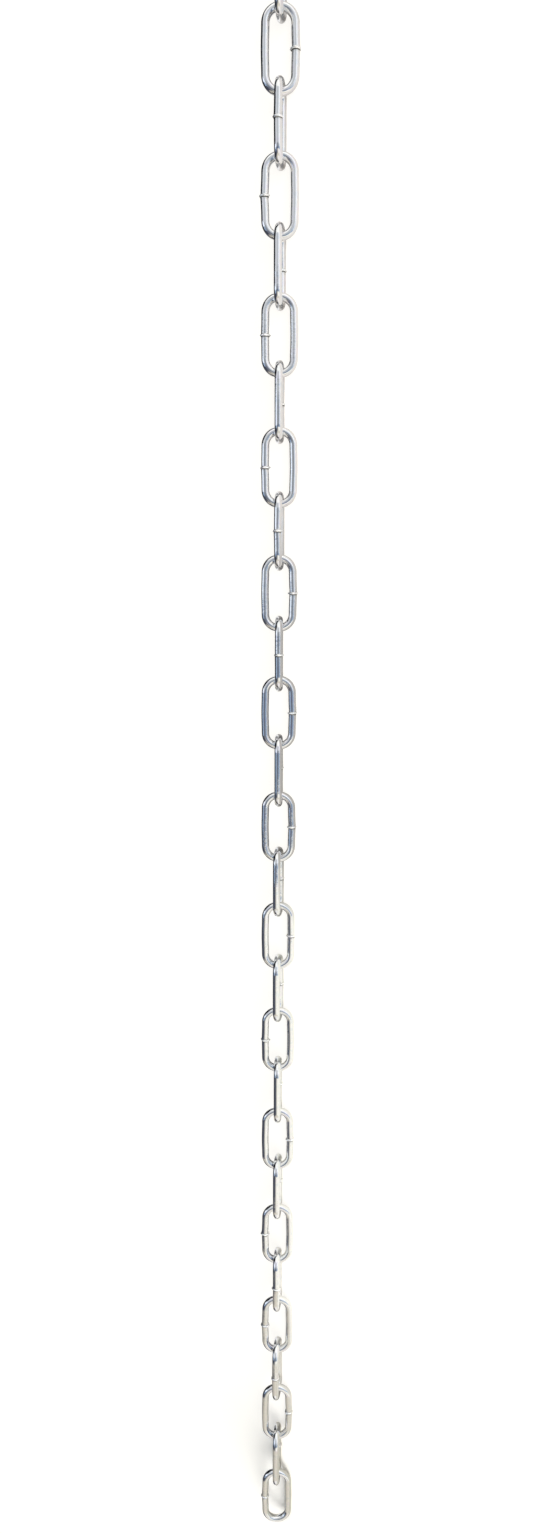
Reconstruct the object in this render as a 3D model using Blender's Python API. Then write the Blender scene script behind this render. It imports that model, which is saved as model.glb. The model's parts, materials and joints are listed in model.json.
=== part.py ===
"""A length of long link chain: round steel wire bent into links, each welded shut round the last.

It lies straight on a level floor. Every link leans on one leg, and its neighbours lean the other
way, as they do in any chain laid out along its length. Metres, +Z up, the chain along Y, with the
first link at +Y and the origin on the floor under the middle of the chain.
"""

import math

import bpy

# One link, as chain makers state it
WIRE = 0.0044
INNER_LENGTH = 0.035
OUTER_WIDTH = 0.020
LINK_COUNT = 28

# How one link hangs in the next
TOUCH_GAP = 0.0004

# How the chain lies: degrees by which links 1, 3, 5 and so on are twisted out of square to the others
TWISTS = (9, 9, 9, 5, 6, 2, 3, 9, 9, 4, 7, 7, 9, 6)
LEAN = 45 + max(TWISTS) / 2

# How finely the round wire is divided
WIRE_SIDES = 8
BEND_STEPS = 8

# What follows from them
LEG_OFFSET = (OUTER_WIDTH - WIRE) / 2
END_OFFSET = (INNER_LENGTH + WIRE) / 2
PITCH = INNER_LENGTH - TOUCH_GAP
HINGE_OFFSET = PITCH - END_OFFSET

# The round wire has flat sides here, with their corners on the round
SIDE_ANGLE = 2 * math.pi / WIRE_SIDES
FLAT_RADIUS = WIRE / 2 * math.cos(SIDE_ANGLE / 2)

# The flats are turned so that the leg a link leans on has one of them on the floor
FLAT_TURN = SIDE_ANGLE / 2 - math.radians(LEAN)
LINE_HEIGHT = LEG_OFFSET * math.sin(math.radians(LEAN)) + FLAT_RADIUS


def clear_scene():
    for obj in list(bpy.data.objects):
        bpy.data.objects.remove(obj)


def bright_zinc():
    material = bpy.data.materials.new("bright_zinc")
    material.use_nodes = True
    shader = material.node_tree.nodes["Principled BSDF"]
    shader.inputs["Base Color"].default_value = (0.72, 0.73, 0.74, 1)
    shader.inputs["Metallic"].default_value = 1.0
    shader.inputs["Roughness"].default_value = 0.25
    return material


def link_outline():
    """Points along the middle of one link's wire: across and along the link.

    The origin is in the middle of the wire that the link hangs on, so it lies on the link's hinge.
    """
    middle = -HINGE_OFFSET
    bend_centre = END_OFFSET - LEG_OFFSET
    points = []
    for end in (1, -1):
        for step in range(BEND_STEPS + 1):
            angle = math.pi * step / BEND_STEPS
            across = end * LEG_OFFSET * math.cos(angle)
            along = middle + end * (bend_centre + LEG_OFFSET * math.sin(angle))
            points.append((across, along))
    return points


def link_curve(material):
    """The wire as a closed curve with a bevel, which every link shares."""
    curve = bpy.data.curves.new("link_wire", "CURVE")
    curve.dimensions = "3D"
    curve.bevel_depth = WIRE / 2
    curve.bevel_resolution = WIRE_SIDES // 2 - 2
    outline = link_outline()
    spline = curve.splines.new("POLY")
    spline.points.add(len(outline) - 1)
    for point, (across, along) in zip(spline.points, outline):
        point.co = (across, along, 0, 1)
        point.tilt = FLAT_TURN
    spline.use_cyclic_u = True
    spline.use_smooth = True
    curve.materials.append(material)
    return curve


def lean_of(index):
    """The angle in degrees that a link is turned about the chain's line, from lying flat."""
    if index % 2:
        return LEAN
    return LEAN - 90 - TWISTS[index // 2]


def build_chain():
    """Hangs each link in the one before it, so that turning a link takes the rest of the chain along."""
    chain = bpy.data.collections.new("long_link_chain")
    bpy.context.scene.collection.children.link(chain)
    curve = link_curve(bright_zinc())
    before = None
    for index in range(LINK_COUNT):
        link = bpy.data.objects.new(f"link_{index + 1:02d}", curve)
        chain.objects.link(link)
        if before is None:
            first_middle = PITCH * (LINK_COUNT - 1) / 2
            link.location = (0, first_middle + HINGE_OFFSET, LINE_HEIGHT)
            link.rotation_euler.y = math.radians(lean_of(index))
        else:
            link.parent = before
            link.location = (0, -PITCH, 0)
            link.rotation_euler.y = math.radians(lean_of(index) - lean_of(index - 1))
        before = link


clear_scene()
build_chain()
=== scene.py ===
"""Looks of the long link chain: bright zinc on round drawn wire, each link closed with a butt weld."""
import json
import math
import random

import bmesh
import bpy
from mathutils import Matrix, Vector, noise

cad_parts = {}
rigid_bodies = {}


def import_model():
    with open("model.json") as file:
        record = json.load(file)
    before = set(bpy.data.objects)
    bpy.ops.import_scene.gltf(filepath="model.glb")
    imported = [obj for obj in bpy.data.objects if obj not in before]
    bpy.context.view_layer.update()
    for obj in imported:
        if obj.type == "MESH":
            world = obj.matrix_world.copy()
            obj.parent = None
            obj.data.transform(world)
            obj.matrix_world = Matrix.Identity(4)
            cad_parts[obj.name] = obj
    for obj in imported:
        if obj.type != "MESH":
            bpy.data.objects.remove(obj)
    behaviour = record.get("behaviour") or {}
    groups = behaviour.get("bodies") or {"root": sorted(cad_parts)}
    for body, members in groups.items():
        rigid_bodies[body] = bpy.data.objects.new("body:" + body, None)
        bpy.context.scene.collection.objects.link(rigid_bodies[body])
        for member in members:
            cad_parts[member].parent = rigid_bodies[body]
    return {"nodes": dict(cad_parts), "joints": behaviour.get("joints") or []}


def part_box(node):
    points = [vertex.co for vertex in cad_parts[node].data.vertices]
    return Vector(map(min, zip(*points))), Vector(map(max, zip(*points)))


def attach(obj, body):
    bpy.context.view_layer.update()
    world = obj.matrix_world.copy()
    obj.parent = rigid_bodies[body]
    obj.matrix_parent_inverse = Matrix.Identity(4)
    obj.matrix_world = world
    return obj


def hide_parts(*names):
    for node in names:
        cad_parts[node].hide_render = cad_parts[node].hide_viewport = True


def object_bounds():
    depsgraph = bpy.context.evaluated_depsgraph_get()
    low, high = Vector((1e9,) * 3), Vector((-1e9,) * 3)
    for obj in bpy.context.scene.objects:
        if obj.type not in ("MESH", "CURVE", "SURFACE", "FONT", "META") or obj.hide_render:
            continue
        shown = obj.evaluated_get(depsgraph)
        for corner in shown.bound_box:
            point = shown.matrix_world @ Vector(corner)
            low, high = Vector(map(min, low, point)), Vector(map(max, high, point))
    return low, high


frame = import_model()
cad_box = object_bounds()

# Each link is one piece of round steel wire, cut, bent to two half circles with straight legs
# between them, and closed by a butt weld halfway down one leg. The weld stands up as a thin ring,
# and the two ends of the wire meet at a slight angle and a little out of line.
WIRE = 0.0044
OUTER_WIDTH = 0.020
LEG_OFFSET = (OUTER_WIDTH - WIRE) / 2
LEG_HALF = 0.0119
LEG_BULGE = 0.00022
WIRE_SIDES = 36
BEND_STEPS = 26
LEG_STEPS = 7
BEND_LENGTH = math.pi * LEG_OFFSET
WIRE_LENGTH = 4 * LEG_HALF + 2 * BEND_LENGTH
# The weld's ring, from its middle outwards, and how far the wire's ends miss each other. A pair is
# the least and the most of what differs from link to link
WELD_RINGS = (0.00010, 0.00023, 0.00035, 0.00045, 0.00053, 0.00060, 0.00067, 0.00084, 0.0012)
WELD_RISE = (0.00055, 0.00095)
WELD_RISE_OUTSIDE = 0.5
WELD_HALF_WIDTH = 0.00063
WELD_HIGH_SIDE_SCATTER = 0.5
WELD_LUMPS = 0.45
WELD_LUMP_COUNT = 1.6
WELD_WAVE = 0.00022
WELD_WAVE_COUNT = 0.9
LUMP_SEED_STEP = 9e4
WELD_STEP = (0.00006, 0.00018)
STEP_FADES_OVER = 0.006
WELD_KINK = (0.00014, 0.00055)
WELD_KINK_ACROSS = 0.00020
KINK_SHARPNESS = 1.5
WELD_SEED = 20
# Where the chain rests, a weld is worn flush with the underside of the wire
UNDERSIDE = -0.00017
# Where each weld shows: on the leg towards +X, or on the other
WELDS_AT_MINUS_X = {4, 5, 6, 7, 8, 13, 15, 17, 18, 19, 21, 22, 24, 27, 28}


def leg_stations():
    """Distances from the weld along half a leg, close together near the weld."""
    last = WELD_RINGS[-1]
    steps = [last + (LEG_HALF - last) * i / LEG_STEPS for i in range(1, LEG_STEPS + 1)]
    return list(WELD_RINGS) + steps


def draw_straight(bm, edges, moves):
    """Draws the wire on along the leg, one ring after another."""
    for move in moves:
        made = bmesh.ops.extrude_edge_only(bm, edges=edges)["geom"]
        edges = [e for e in made if isinstance(e, bmesh.types.BMEdge) and e.is_boundary]
        verts = list({v for e in edges for v in e.verts})
        bmesh.ops.translate(bm, verts=verts, vec=(0, move, 0))
    return edges


def draw_bend(bm, edges, centre_y):
    """Bends the wire through half a circle round the end of the link."""
    verts = list({v for e in edges for v in e.verts})
    made = bmesh.ops.spin(
        bm, geom=verts + edges, cent=(0, centre_y, 0), axis=(0, 0, 1), dvec=(0, 0, 0),
        angle=math.pi, steps=BEND_STEPS, use_duplicate=False,
    )
    return [e for e in made["geom_last"] if isinstance(e, bmesh.types.BMEdge)]


def place_on_wire(point):
    """Where a point of the bent wire was on the straight one: outwards, across, along from the weld."""
    x, y, z = point
    if abs(y) <= LEG_HALF:
        outward = abs(x) - LEG_OFFSET
        if x > 0:
            along = y if y >= 0 else WIRE_LENGTH + y
        else:
            along = 2 * LEG_HALF + BEND_LENGTH - y
        return Vector((outward, z, along))
    end = math.copysign(LEG_HALF, y)
    outward = math.hypot(x, y - end) - LEG_OFFSET
    if y > 0:
        along = LEG_HALF + LEG_OFFSET * math.atan2(y - end, x)
    else:
        along = 3 * LEG_HALF + BEND_LENGTH + LEG_OFFSET * (math.pi - math.atan2(end - y, x))
    return Vector((outward, z, along))


def lump_at(angle, count, seed):
    """Smooth unevenness round the wire, from about -0.5 to 0.5."""
    spot = Vector((count * math.cos(angle), count * math.sin(angle), seed * LUMP_SEED_STEP))
    return noise.noise(spot)


def shape_wire(bm, chance):
    """Swells the weld, kinks the leg there and lets the other leg belly out a little."""
    rise = chance.uniform(*WELD_RISE)
    high_side = math.pi + chance.gauss(0, WELD_HIGH_SIDE_SCATTER)
    step = chance.uniform(*WELD_STEP)
    step_side = chance.uniform(0, 2 * math.pi)
    kink = Vector((chance.uniform(*WELD_KINK), 0, chance.uniform(-1, 1) * WELD_KINK_ACROSS))
    place = bm.verts.layers.float_vector.new("wire_place")
    for vert in bm.verts:
        spot = place_on_wire(vert.co)
        vert[place] = spot
        from_weld = min(abs(spot.z), abs(WIRE_LENGTH - spot.z))
        round_wire = math.atan2(spot.y, spot.x)
        up_leg = min(1.0, abs(vert.co.y) / LEG_HALF)
        if vert.co.x > 0:
            move = kink * (1 - up_leg) ** KINK_SHARPNESS
        else:
            move = Vector((-LEG_BULGE * (1 - up_leg ** 2) ** 2, 0, 0))
        if from_weld < STEP_FADES_OVER:
            share = 1 - from_weld / STEP_FADES_OVER
            side = 1 if spot.z < WIRE_LENGTH / 2 else -1
            shift = side * step * share * share
            move += Vector((shift * math.cos(step_side), 0, shift * math.sin(step_side)))
        if from_weld < WELD_HALF_WIDTH:
            ring = 1 - (from_weld / WELD_HALF_WIDTH) ** 3
            inner = (1 + math.cos(round_wire - high_side)) / 2
            uneven = WELD_RISE_OUTSIDE + (1 - WELD_RISE_OUTSIDE) * inner
            lump = WELD_LUMPS * lump_at(round_wire, WELD_LUMP_COUNT, rise)
            swell = rise * ring * (uneven + lump)
            move += Vector((swell * math.cos(round_wire), 0, swell * math.sin(round_wire)))
        if from_weld < WELD_RINGS[-1]:
            share = 1 - from_weld / WELD_RINGS[-1]
            move.y += WELD_WAVE * share * lump_at(round_wire, WELD_WAVE_COUNT, -rise)
        vert.co += move


def fine_link(name, chance):
    """One link lying flat, its weld halfway down the leg at +X."""
    bm = bmesh.new()
    stations = leg_stations()
    moves = [b - a for a, b in zip([0.0] + stations, stations)]
    start = Matrix.Translation((LEG_OFFSET, 0, 0)) @ Matrix.Rotation(math.pi / 2, 4, "X")
    bmesh.ops.create_circle(bm, cap_ends=False, radius=WIRE / 2, segments=WIRE_SIDES, matrix=start)
    first = list(bm.edges)
    leg_step = LEG_HALF / LEG_STEPS
    edges = draw_straight(bm, first, moves)
    edges = draw_bend(bm, edges, LEG_HALF)
    edges = draw_straight(bm, edges, [-leg_step] * (2 * LEG_STEPS))
    edges = draw_bend(bm, edges, -LEG_HALF)
    edges = draw_straight(bm, edges, moves[:0:-1])
    bmesh.ops.bridge_loops(bm, edges=edges + first)
    bmesh.ops.remove_doubles(bm, verts=bm.verts, dist=1e-6)
    shape_wire(bm, chance)
    bmesh.ops.recalc_face_normals(bm, faces=bm.faces)
    mesh = bpy.data.meshes.new(name)
    bm.to_mesh(mesh)
    bm.free()
    mesh.shade_smooth()
    return mesh


def add_node(tree, kind, **values):
    """A shader node with its options and its unlinked inputs set."""
    made = tree.nodes.new(kind)
    for key, value in values.items():
        if key in made.inputs:
            made.inputs[key].default_value = value
        else:
            setattr(made, key, value)
    return made


def colour_ramp(tree, stops):
    """A colour ramp through (place, colour) stops."""
    ramp = add_node(tree, "ShaderNodeValToRGB")
    elements = ramp.color_ramp.elements
    while len(elements) < len(stops):
        elements.new(1.0)
    for element, (place, colour) in zip(elements, stops):
        element.position = place
        element.color = tuple(colour) + (1,)
    return ramp


def fade(tree, value, start_end, low_high=(0.0, 1.0), interpolation="SMOOTHSTEP"):
    """A change of a value from one level to another between two places."""
    made = add_node(tree, "ShaderNodeMapRange", interpolation_type=interpolation)
    made.inputs["From Min"].default_value, made.inputs["From Max"].default_value = start_end
    made.inputs["To Min"].default_value, made.inputs["To Max"].default_value = low_high
    tree.links.new(value, made.inputs["Value"])
    return made.outputs["Result"]


# The patterns in the zinc: repeats in a metre, and depths in metres
CLOUD_SCALE = 260.0
CLOUD_SPAN = (0.3, 0.7)
CLOUD_ROUGHNESS = (0.17, 0.09)
DRAWING_SCALE = 2200.0
DRAWN_OUT = (1, 1, 0.05)
DRAWING_DEPTH = 0.00006
DENT_SCALE = 650.0
DENT_DEPTH = 0.00011
# Colours of the zinc by the cloud pattern, then the colour painted at the weld, by distance from its
# middle towards the chain's first link: the ring is a painted highlight, a painted shade lies in
# the crease at its lower foot and a fainter one at its upper foot, and heat has dulled the rest
ZINC_TONES = ((0.30, (0.80, 0.83, 0.86)), (0.50, (0.87, 0.87, 0.86)), (0.70, (0.85, 0.83, 0.88)))
WELD_PAINTED_LIGHT_AND_HEAT = (
    (-0.0020, (1.0, 1.0, 1.0)), (-0.00110, (0.88, 0.88, 0.86)), (-0.00090, (0.26, 0.25, 0.24)),
    (-0.00060, (0.10, 0.10, 0.09)), (-0.00044, (1.10, 1.10, 1.08)), (0.00050, (1.14, 1.14, 1.12)),
    (0.00062, (0.62, 0.61, 0.60)), (0.00075, (0.95, 0.95, 0.94)), (0.0020, (1.0, 1.0, 1.0)),
)
WELD_GRIT = (
    (-0.0020, 0.0), (-0.00100, 0.08), (-0.00080, 0.30), (-0.00062, 0.35), (-0.00046, 0.12),
    (0.00050, 0.12), (0.00062, 0.25), (0.00075, 0.08), (0.0020, 0.0),
)
# The weld has frosted the ring, which is a little less of a mirror
WELD_METAL = ((-0.00062, 1.0), (-0.00048, 0.82), (0.00050, 0.82), (0.00062, 1.0))
WELD_MARKS_REACH = 0.0021


def by_weld(tree, stops):
    """A ramp whose stops are given in metres from the weld's middle."""
    return colour_ramp(tree, [(0.5 + 0.5 * far / WELD_MARKS_REACH, colour) for far, colour in stops])


def bright_zinc():
    """Thin bright zinc over drawn steel wire: a cool mirror, softened, with drawing lines along it."""
    material = bpy.data.materials.new("bright_zinc")
    material.use_nodes = True
    tree = material.node_tree
    join = tree.links.new
    zinc = tree.nodes["Principled BSDF"]
    spot = add_node(tree, "ShaderNodeAttribute", attribute_name="wire_place")
    here = add_node(tree, "ShaderNodeTexCoord")

    # The clear finish plays faintly between blue, white and violet, a few millimetres apart
    clouds = add_node(tree, "ShaderNodeTexNoise", Scale=CLOUD_SCALE, Detail=3.0, Roughness=0.55)
    join(here.outputs["Object"], clouds.inputs["Vector"])
    tone = colour_ramp(tree, ZINC_TONES)
    join(clouds.outputs["Fac"], tone.inputs["Fac"])

    # Painted highlight on the weld's ring, painted shade at its feet, and heat has dulled the rest
    split = add_node(tree, "ShaderNodeSeparateXYZ")
    join(spot.outputs["Vector"], split.inputs["Vector"])
    from_weld = add_node(tree, "ShaderNodeMath", operation="WRAP")
    join(split.outputs["Z"], from_weld.inputs[0])
    from_weld.inputs[1].default_value = WIRE_LENGTH / 2
    from_weld.inputs[2].default_value = -WIRE_LENGTH / 2
    near_weld = add_node(tree, "ShaderNodeMath", operation="MULTIPLY_ADD", use_clamp=True)
    join(from_weld.outputs[0], near_weld.inputs[0])
    near_weld.inputs[1].default_value = 0.5 / WELD_MARKS_REACH
    near_weld.inputs[2].default_value = 0.5
    weld_light_and_heat = by_weld(tree, WELD_PAINTED_LIGHT_AND_HEAT)
    join(near_weld.outputs[0], weld_light_and_heat.inputs["Fac"])
    zinc_with_weld_light = add_node(tree, "ShaderNodeMix", data_type="RGBA", blend_type="MULTIPLY", Factor=1.0)
    join(tone.outputs["Color"], zinc_with_weld_light.inputs["A"])
    join(weld_light_and_heat.outputs["Color"], zinc_with_weld_light.inputs["B"])
    join(zinc_with_weld_light.outputs["Result"], zinc.inputs["Base Color"])
    metal = by_weld(tree, [(far, (share,) * 3) for far, share in WELD_METAL])
    join(near_weld.outputs[0], metal.inputs["Fac"])
    join(metal.outputs["Color"], zinc.inputs["Metallic"])

    # Roughness follows the same clouds, and the creases are rough with scale
    rough = fade(tree, clouds.outputs["Fac"], CLOUD_SPAN, CLOUD_ROUGHNESS, "LINEAR")
    scale = by_weld(tree, [(far, (grit,) * 3) for far, grit in WELD_GRIT])
    join(near_weld.outputs[0], scale.inputs["Fac"])
    gritty = add_node(tree, "ShaderNodeMath", operation="ADD")
    join(scale.outputs["Color"], gritty.inputs[0])
    join(rough, gritty.inputs[1])
    join(gritty.outputs[0], zinc.inputs["Roughness"])

    # Drawing lines run along the wire, and the tumbling drum has left soft dents over them
    stretch = add_node(tree, "ShaderNodeVectorMath", operation="MULTIPLY")
    stretch.inputs[1].default_value = DRAWN_OUT
    join(spot.outputs["Vector"], stretch.inputs[0])
    lines = add_node(tree, "ShaderNodeTexNoise", Scale=DRAWING_SCALE, Detail=3.0, Roughness=0.6)
    join(stretch.outputs["Vector"], lines.inputs["Vector"])
    line_bump = add_node(tree, "ShaderNodeBump", Strength=0.3, Distance=DRAWING_DEPTH)
    join(lines.outputs["Fac"], line_bump.inputs["Height"])
    dents = add_node(tree, "ShaderNodeTexNoise", Scale=DENT_SCALE, Detail=1.0)
    join(here.outputs["Object"], dents.inputs["Vector"])
    dent_bump = add_node(tree, "ShaderNodeBump", Strength=0.35, Distance=DENT_DEPTH)
    join(dents.outputs["Fac"], dent_bump.inputs["Height"])
    join(line_bump.outputs["Normal"], dent_bump.inputs["Normal"])
    join(dent_bump.outputs["Normal"], zinc.inputs["Normal"])
    return material


def across(body):
    """The direction of a link's width: the next link swings about it."""
    for joint in frame["joints"]:
        if joint["parent"] == body:
            axis = Vector(joint["axis"])
            return axis if axis.x > 0 else -axis


zinc_plating = bright_zinc()
chance = random.Random(WELD_SEED)
for number, node in enumerate(sorted(frame["nodes"]), start=1):
    # Nothing hangs in the last link, which lies as the last but one of its kind does
    width = across(node) or across("link_26")
    low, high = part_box(node)
    turned = Matrix.Rotation(math.atan2(-width.z, width.x), 4, "Y")
    if number in WELDS_AT_MINUS_X:
        turned = turned @ Matrix.Rotation(math.pi, 4, "Y")
    mesh = fine_link(node + "_wire", chance)
    mesh.transform(Matrix.Translation((low + high) / 2) @ turned)
    for vert in mesh.vertices:
        vert.co.z = max(vert.co.z, UNDERSIDE)
    mesh.materials.append(zinc_plating)
    link = bpy.data.objects.new(node + "_wire", mesh)
    bpy.context.collection.objects.link(link)
    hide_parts(node)
    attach(link, node)

# The floor is a pale sheet, wide enough to reach past every view. Only what the zinc mirrors sees its
# tones, painted light and shade: paler under one half of the chain than under the other, warm grey at
# the free end, white just behind the chain and dim further back, with a painted glow that grows away
# from the chain. The camera sees it glow white, with soft shadows only on its shaded share.
FLOOR_SIZE = 12.0
FLOOR_GLOSS = 0.3
# Colour that only the zinc's reflections see, painted light and shade, by place along the chain,
# from the free end up, in metres
FLOOR_TONES_OVER = 1.0
FLOOR_TONES = (
    (-0.50, (0.43, 0.41, 0.33)), (-0.41, (0.53, 0.50, 0.43)), (-0.31, (0.84, 0.81, 0.74)),
    (-0.20, (0.77, 0.75, 0.67)), (-0.05, (0.77, 0.75, 0.67)), (0.00, (0.37, 0.35, 0.32)),
    (0.15, (0.39, 0.37, 0.35)), (0.21, (0.65, 0.61, 0.57)), (0.36, (0.69, 0.65, 0.61)),
    (0.45, (0.58, 0.55, 0.52)),
)
FLOOR_BEHIND = (0.97, 0.96, 0.95, 1)
WHITE_BEHIND = (-0.010, -0.018)
DIM_BEHIND = (-0.024, -0.036)
DIM_SHARE = 0.28
GLOW_ASIDE = (0.001, 0.006)
GLOW_MIRRORED = (0.10, 0.32)
# The camera's floor is part glow and part shaded, and more is shaded by the free end
FREE_END = (-0.385, -0.455)
SHADED = (0.20, 1.02)
SHADED_TINT = (1.0, 0.97, 0.90, 1)
GLOW_AND_SHADED = 1.08
GLOW_TINT = (1.02, 1.0, 0.96, 1)


def pale_floor():
    """A glowing white sheet for the camera, and a toned one of painted light and shade for reflections.
    """
    material = bpy.data.materials.new("pale_floor")
    material.use_nodes = True
    tree = material.node_tree
    join = tree.links.new
    here = add_node(tree, "ShaderNodeTexCoord")
    split = add_node(tree, "ShaderNodeSeparateXYZ")
    join(here.outputs["Object"], split.inputs["Vector"])
    sideways = split.outputs["X"]
    along = split.outputs["Y"]

    share = add_node(tree, "ShaderNodeMath", operation="MULTIPLY_ADD")
    share.inputs[1].default_value = 1 / FLOOR_TONES_OVER
    share.inputs[2].default_value = 0.5
    join(along, share.inputs[0])
    stops = [(0.5 + place / FLOOR_TONES_OVER, colour) for place, colour in FLOOR_TONES]
    tones = colour_ramp(tree, stops)
    join(share.outputs[0], tones.inputs["Fac"])
    behind = add_node(tree, "ShaderNodeMix", data_type="RGBA", B=FLOOR_BEHIND)
    join(fade(tree, sideways, WHITE_BEHIND), behind.inputs["Factor"])
    join(tones.outputs["Color"], behind.inputs["A"])
    toned = add_node(tree, "ShaderNodeMix", data_type="RGBA", blend_type="MULTIPLY", Factor=1.0)
    join(behind.outputs["Result"], toned.inputs["A"])
    join(fade(tree, sideways, DIM_BEHIND, (1.0, DIM_SHARE)), toned.inputs["B"])
    mirrored = tree.nodes["Principled BSDF"]
    mirrored.inputs["Roughness"].default_value = FLOOR_GLOSS
    join(toned.outputs["Result"], mirrored.inputs["Base Color"])
    join(toned.outputs["Result"], mirrored.inputs["Emission Color"])
    aside = add_node(tree, "ShaderNodeMath", operation="ABSOLUTE")
    join(sideways, aside.inputs[0])
    strength = fade(tree, aside.outputs[0], GLOW_ASIDE, GLOW_MIRRORED)
    join(strength, mirrored.inputs["Emission Strength"])

    shaded = add_node(tree, "ShaderNodeBsdfDiffuse")
    warmed = add_node(tree, "ShaderNodeMix", data_type="RGBA", blend_type="MULTIPLY", Factor=1.0)
    warmed.inputs["B"].default_value = SHADED_TINT
    join(fade(tree, along, FREE_END, SHADED), warmed.inputs["A"])
    join(warmed.outputs["Result"], shaded.inputs["Color"])
    glow = add_node(tree, "ShaderNodeEmission", Color=GLOW_TINT)
    rest = [GLOW_AND_SHADED - part for part in SHADED]
    join(fade(tree, along, FREE_END, rest), glow.inputs["Strength"])
    lit = add_node(tree, "ShaderNodeAddShader")
    join(shaded.outputs[0], lit.inputs[0])
    join(glow.outputs[0], lit.inputs[1])
    ray = add_node(tree, "ShaderNodeLightPath")
    seen = add_node(tree, "ShaderNodeMixShader")
    join(ray.outputs["Is Camera Ray"], seen.inputs["Fac"])
    join(mirrored.outputs[0], seen.inputs[1])
    join(lit.outputs[0], seen.inputs[2])
    join(seen.outputs[0], tree.nodes["Material Output"].inputs["Surface"])
    return material


bm = bmesh.new()
bmesh.ops.create_grid(
    bm, x_segments=1, y_segments=1, size=FLOOR_SIZE, matrix=Matrix.Translation((0, 0, UNDERSIDE))
)
mesh = bpy.data.meshes.new("floor")
bm.to_mesh(mesh)
bm.free()
mesh.materials.append(pale_floor())
floor = bpy.data.objects.new("floor", mesh)
bpy.context.collection.objects.link(floor)

# The studio round it, of which each stretch of the chain mirrors its own part, dark on the far
# side. From the top end come a bright ceiling, two silver walls, white sheets with a dim gap, the
# blue-grey room, a cream wall and, past the free end, a beige one that goes all round and a pale one.

# Each wall lists (degrees from straight up towards +X, brightness)
FIRST = (
    (-90, 0.0), (-28, 0.01), (-16, 0.60), (-4, 0.78), (10, 0.74), (36, 0.54), (60, 0.76),
    (78, 1.15), (90, 1.25),
)
SILVER = (
    (-90, 0.0), (-36, 0.01), (-26, 0.58), (-10, 0.74), (10, 0.74), (36, 0.54), (60, 0.76),
    (78, 1.15), (90, 1.25),
)
SHEETS = (
    (-90, 0.01), (-50, 0.02), (-38, 0.95), (-26, 1.35), (-8, 1.05), (12, 0.42), (32, 0.27),
    (56, 0.35), (76, 0.80), (90, 1.05),
)
ROOM = (
    (-90, 0.01), (-42, 0.02), (-32, 0.40), (-20, 0.62), (-6, 0.38), (12, 0.18), (36, 0.17),
    (54, 0.26), (76, 0.48), (90, 0.54),
)
CREAM = (
    (-90, 0.07), (-50, 0.06), (-14, 0.08), (2, 0.13), (18, 0.27), (34, 0.64), (52, 1.00),
    (70, 1.10), (90, 1.08),
)
PALE = ((-90, 0.02), (-32, 0.04), (-16, 0.45), (0, 0.85), (40, 1.0), (90, 1.0))
BEIGE = ((-90, 0.20), (-58, 0.30), (-34, 0.52), (0, 0.64), (40, 0.76), (90, 0.72))
CEILING = ((-90, 0.0), (-44, 0.03), (-26, 0.80), (-6, 1.10), (40, 1.15), (90, 1.25))
# Walls from the free end up, each with its tint and where it takes over from the one before, on a
# scale from -1, straight out past the free end, to 1, straight out past the first link
ZONES = (
    (PALE, (1.03, 0.99, 0.97), None),
    (BEIGE, (1.05, 0.98, 0.84), (-0.84, -0.78)),
    (CREAM, (1.02, 1.0, 0.93), (-0.71, -0.58)),
    (ROOM, (0.74, 0.97, 1.32), (-0.31, -0.27)),
    (SHEETS, (0.90, 0.98, 1.10), (-0.08, -0.04)),
    (SILVER, (0.95, 0.99, 1.05), (0.15, 0.25)),
    (FIRST, (0.95, 0.99, 1.05), (0.35, 0.40)),
    (CEILING, (1.0, 1.0, 0.98), (0.60, 0.74)),
)
# Whatever is this dark in any of them is cool
COOL_BELOW = 0.2
COOL_TINT = (0.84, 0.94, 1.26)
SIDE_LIGHT = 5.0
SIDE_LIGHT_SPREAD = 50
SIDE_LIGHT_LEAN = 70


def zone_colour(tree, angle, stops, tint):
    """One zone of the room, a ramp from its far side over the top to its near side."""
    places = []
    for degrees, bright in stops:
        own_tint = COOL_TINT if bright < COOL_BELOW else tint
        places.append((0.5 + degrees / 360, [bright * part for part in own_tint]))
    ramp = colour_ramp(tree, places)
    tree.links.new(angle, ramp.inputs["Fac"])
    return ramp.outputs["Color"]


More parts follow.
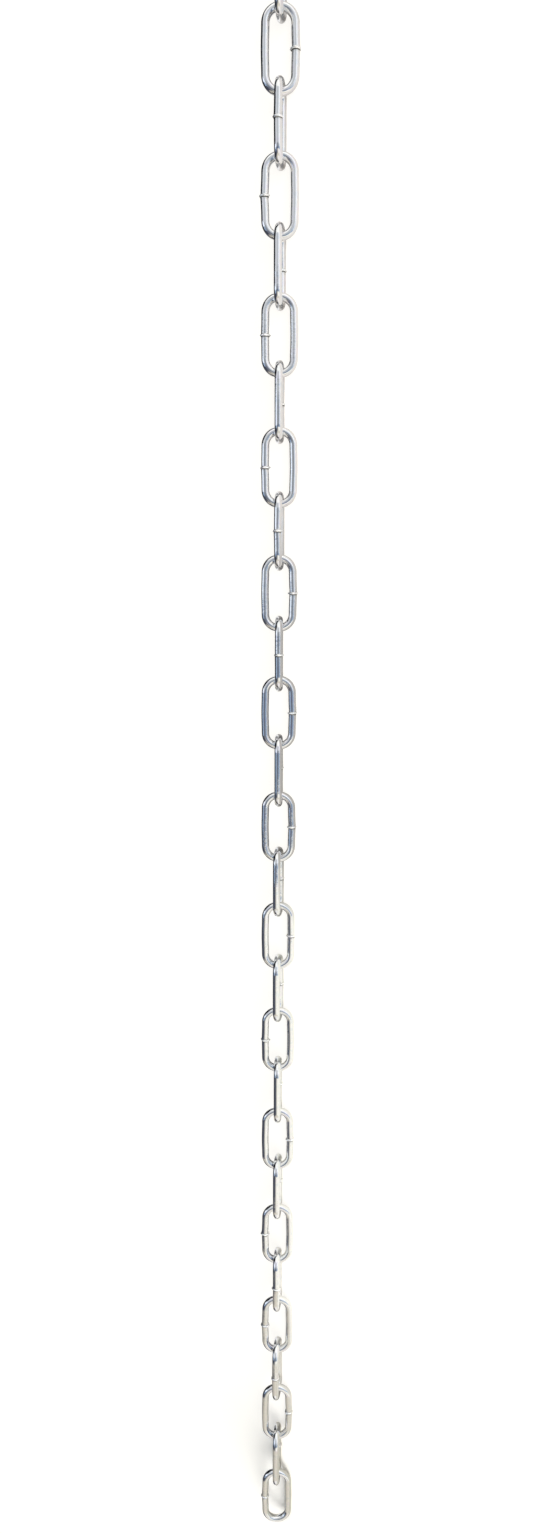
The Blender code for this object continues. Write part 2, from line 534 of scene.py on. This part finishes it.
def studio():
    """The light all round, and what the zinc mirrors."""
    world = bpy.data.worlds.new("studio")
    bpy.context.scene.world = world
    world.use_nodes = True
    tree = world.node_tree
    tree.nodes.clear()
    join = tree.links.new
    look = add_node(tree, "ShaderNodeTexCoord")
    split = add_node(tree, "ShaderNodeSeparateXYZ")
    join(look.outputs["Generated"], split.inputs["Vector"])
    angle = add_node(tree, "ShaderNodeMath", operation="ARCTAN2")
    join(split.outputs["X"], angle.inputs[0])
    join(split.outputs["Z"], angle.inputs[1])
    share = add_node(tree, "ShaderNodeMath", operation="MULTIPLY_ADD")
    share.inputs[1].default_value = 1 / (2 * math.pi)
    share.inputs[2].default_value = 0.5
    join(angle.outputs[0], share.inputs[0])
    colour = zone_colour(tree, share.outputs[0], *ZONES[0][:2])
    for stops, tint, takes_over in ZONES[1:]:
        mix = add_node(tree, "ShaderNodeMix", data_type="RGBA")
        join(fade(tree, split.outputs["Y"], takes_over), mix.inputs["Factor"])
        join(colour, mix.inputs["A"])
        join(zone_colour(tree, share.outputs[0], stops, tint), mix.inputs["B"])
        colour = mix.outputs["Result"]
    room = add_node(tree, "ShaderNodeBackground")
    join(colour, room.inputs["Color"])
    white = add_node(tree, "ShaderNodeBackground", Color=(1, 1, 1, 1))
    ray = add_node(tree, "ShaderNodeLightPath")
    seen = add_node(tree, "ShaderNodeMixShader")
    join(ray.outputs["Is Camera Ray"], seen.inputs["Fac"])
    join(room.outputs["Background"], seen.inputs[1])
    join(white.outputs["Background"], seen.inputs[2])
    out = add_node(tree, "ShaderNodeOutputWorld")
    join(seen.outputs["Shader"], out.inputs["Surface"])


studio()
lamp = bpy.data.lights.new("side_light", "SUN")
lamp.energy = SIDE_LIGHT
lamp.angle = math.radians(SIDE_LIGHT_SPREAD)
side_light = bpy.data.objects.new("side_light", lamp)
bpy.context.collection.objects.link(side_light)
side_light.rotation_euler.y = math.radians(SIDE_LIGHT_LEAN)
side_light.visible_glossy = False

# The camera stands square to the chain, level with where the tenth link hangs and well above the
# floor, and looks down along the chain towards its free end.
LEVEL_Y = 0.173
CAMERA_DISTANCE = 0.5744
ABOVE_FLOOR = math.radians(40.5)
TILT = 0.2042
PHOTO_HEIGHT = 1534
FOCAL_PIXELS = 987.4
SENSOR = 36
MOVED_LEFT = 0.0072

towards = Vector((math.cos(ABOVE_FLOOR), 0, math.sin(ABOVE_FLOOR)))
right = Vector((math.sin(ABOVE_FLOOR), 0, -math.cos(ABOVE_FLOOR)))
line_height = (cad_box[0].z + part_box("link_15")[0].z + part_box("link_15")[1].z) / 2
looking = (-towards * math.cos(TILT) + Vector((0, -1, 0)) * math.sin(TILT)).normalized()
upward = right.cross(looking)
camera = bpy.data.cameras.new("camera")
camera.sensor_width = SENSOR
camera.lens = FOCAL_PIXELS / PHOTO_HEIGHT * SENSOR
view = bpy.data.objects.new("camera", camera)
bpy.context.collection.objects.link(view)
place = Vector((0, LEVEL_Y, line_height)) + towards * CAMERA_DISTANCE - right * MOVED_LEFT
turn = Matrix((right, upward, -looking)).transposed().to_4x4()
view.matrix_world = Matrix.Translation(place) @ turn
bpy.context.scene.camera = view
bpy.context.scene.view_settings.view_transform = "Standard"
